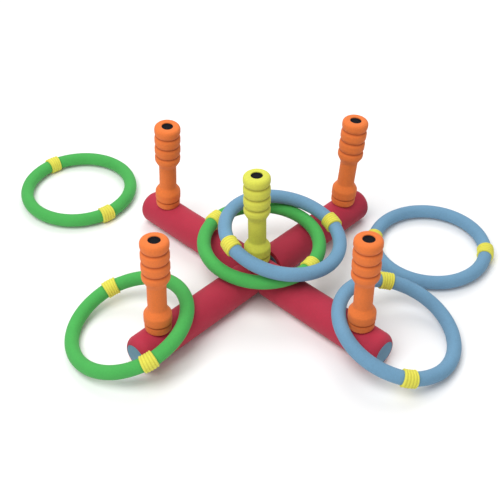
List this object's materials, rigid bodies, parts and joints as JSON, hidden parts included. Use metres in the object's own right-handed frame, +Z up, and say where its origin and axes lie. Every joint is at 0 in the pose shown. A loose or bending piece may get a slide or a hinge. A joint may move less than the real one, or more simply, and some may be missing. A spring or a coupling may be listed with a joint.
{
  "type": "ring toss set",
  "caption": "Foam lawn ring toss: crossed round logs with plug-in pegs at the middle and near each end, and soft rings with ribbed joint sleeves.",
  "frame": {"origin": "centre of the cross, on the flat underside of the logs, which is the floor", "axes": "+Z up; the two logs lie along the diagonals of the XY plane; -Y is the front"},
  "size_m": [0.7946, 0.5798, 0.2107],
  "materials": {
    "log_red": "matte closed-cell foam",
    "core_blue": "matte cut foam",
    "peg_orange": "matte closed-cell foam",
    "peg_yellow": "matte closed-cell foam",
    "tube_black": "satin moulded plastic",
    "ring_green": "matte closed-cell foam",
    "ring_blue": "matte closed-cell foam",
    "sleeve_yellow": "satin ribbed soft plastic",
    "hoop_grey": "plain extruded hoop"
  },
  "bodies": {
    "lower_log": {"lower_log_foam": "log_red", "lower_log_core": "core_blue"},
    "upper_log": {"upper_log_foam": "log_red", "upper_log_core": "core_blue"},
    "rear_left_peg": {"rear_left_peg_grip": "peg_orange", "rear_left_peg_tube": "tube_black", "rear_left_peg_cap": "tube_black"},
    "front_right_peg": {"front_right_peg_grip": "peg_orange", "front_right_peg_tube": "tube_black", "front_right_peg_cap": "tube_black"},
    "centre_peg": {"centre_peg_grip": "peg_yellow", "centre_peg_tube": "tube_black", "centre_peg_cap": "tube_black"},
    "front_left_peg": {"front_left_peg_grip": "peg_orange", "front_left_peg_tube": "tube_black", "front_left_peg_cap": "tube_black"},
    "rear_right_peg": {"rear_right_peg_grip": "peg_orange", "rear_right_peg_tube": "tube_black", "rear_right_peg_cap": "tube_black"},
    "left_green_ring": {"left_green_ring_foam_a": "ring_green", "left_green_ring_foam_b": "ring_green", "left_green_ring_sleeve_a": "sleeve_yellow", "left_green_ring_sleeve_b": "sleeve_yellow", "left_green_ring_hoop": "hoop_grey", "left_green_ring_joiner": "hoop_grey"},
    "front_green_ring": {"front_green_ring_foam_a": "ring_green", "front_green_ring_foam_b": "ring_green", "front_green_ring_sleeve_a": "sleeve_yellow", "front_green_ring_sleeve_b": "sleeve_yellow", "front_green_ring_hoop": "hoop_grey", "front_green_ring_joiner": "hoop_grey"},
    "centre_green_ring": {"centre_green_ring_foam_a": "ring_green", "centre_green_ring_foam_b": "ring_green", "centre_green_ring_sleeve_a": "sleeve_yellow", "centre_green_ring_sleeve_b": "sleeve_yellow", "centre_green_ring_hoop": "hoop_grey", "centre_green_ring_joiner": "hoop_grey"},
    "centre_blue_ring": {"centre_blue_ring_foam_a": "ring_blue", "centre_blue_ring_foam_b": "ring_blue", "centre_blue_ring_sleeve_a": "sleeve_yellow", "centre_blue_ring_sleeve_b": "sleeve_yellow", "centre_blue_ring_hoop": "hoop_grey", "centre_blue_ring_joiner": "hoop_grey"},
    "front_blue_ring": {"front_blue_ring_foam_a": "ring_blue", "front_blue_ring_foam_b": "ring_blue", "front_blue_ring_sleeve_a": "sleeve_yellow", "front_blue_ring_sleeve_b": "sleeve_yellow", "front_blue_ring_hoop": "hoop_grey", "front_blue_ring_joiner": "hoop_grey"},
    "right_blue_ring": {"right_blue_ring_foam_a": "ring_blue", "right_blue_ring_foam_b": "ring_blue", "right_blue_ring_sleeve_a": "sleeve_yellow", "right_blue_ring_sleeve_b": "sleeve_yellow", "right_blue_ring_hoop": "hoop_grey", "right_blue_ring_joiner": "hoop_grey"}
  },
  "joints": [
    {"name": "upper_log_lift", "type": "slide", "parent": "lower_log", "child": "upper_log", "axis": [0, 0, 1], "range_m": [0, 0.08]},
    {"name": "front_left_peg_pull", "type": "slide", "parent": "lower_log", "child": "front_left_peg", "axis": [0.0244, 0.0488, 0.9985], "range_m": [0, 0.04]},
    {"name": "rear_right_peg_pull", "type": "slide", "parent": "lower_log", "child": "rear_right_peg", "axis": [0.0698, 0.0104, 0.9975], "range_m": [0, 0.04]},
    {"name": "rear_left_peg_pull", "type": "slide", "parent": "upper_log", "child": "rear_left_peg", "axis": [0.0505, -0.061, 0.9969], "range_m": [0, 0.04]},
    {"name": "front_right_peg_pull", "type": "slide", "parent": "upper_log", "child": "front_right_peg", "axis": [-0.0052, 0.0297, 0.9995], "range_m": [0, 0.04]},
    {"name": "centre_peg_pull", "type": "slide", "parent": "upper_log", "child": "centre_peg", "axis": [-0.0105, 0.0297, 0.9995], "range_m": [0, 0.04]},
    {"name": "centre_green_ring_lift", "type": "slide", "parent": "upper_log", "child": "centre_green_ring", "axis": [0, 0, 1], "range_m": [0, 0.2]},
    {"name": "centre_blue_ring_lift", "type": "slide", "parent": "centre_green_ring", "child": "centre_blue_ring", "axis": [0, 0, 1], "range_m": [0, 0.18]},
    {"name": "front_blue_ring_lift", "type": "slide", "parent": "upper_log", "child": "front_blue_ring", "axis": [0, 0, 1], "range_m": [0, 0.24]},
    {"name": "front_green_ring_lift", "type": "slide", "parent": "lower_log", "child": "front_green_ring", "axis": [0, 0, 1], "range_m": [0, 0.24]},
    {"name": "left_green_ring_lift", "type": "slide", "parent": "lower_log", "child": "left_green_ring", "axis": [0, 0, 1], "range_m": [0, 0.2]},
    {"name": "right_blue_ring_lift", "type": "slide", "parent": "lower_log", "child": "right_blue_ring", "axis": [0, 0, 1], "range_m": [0, 0.2]}
  ]
}
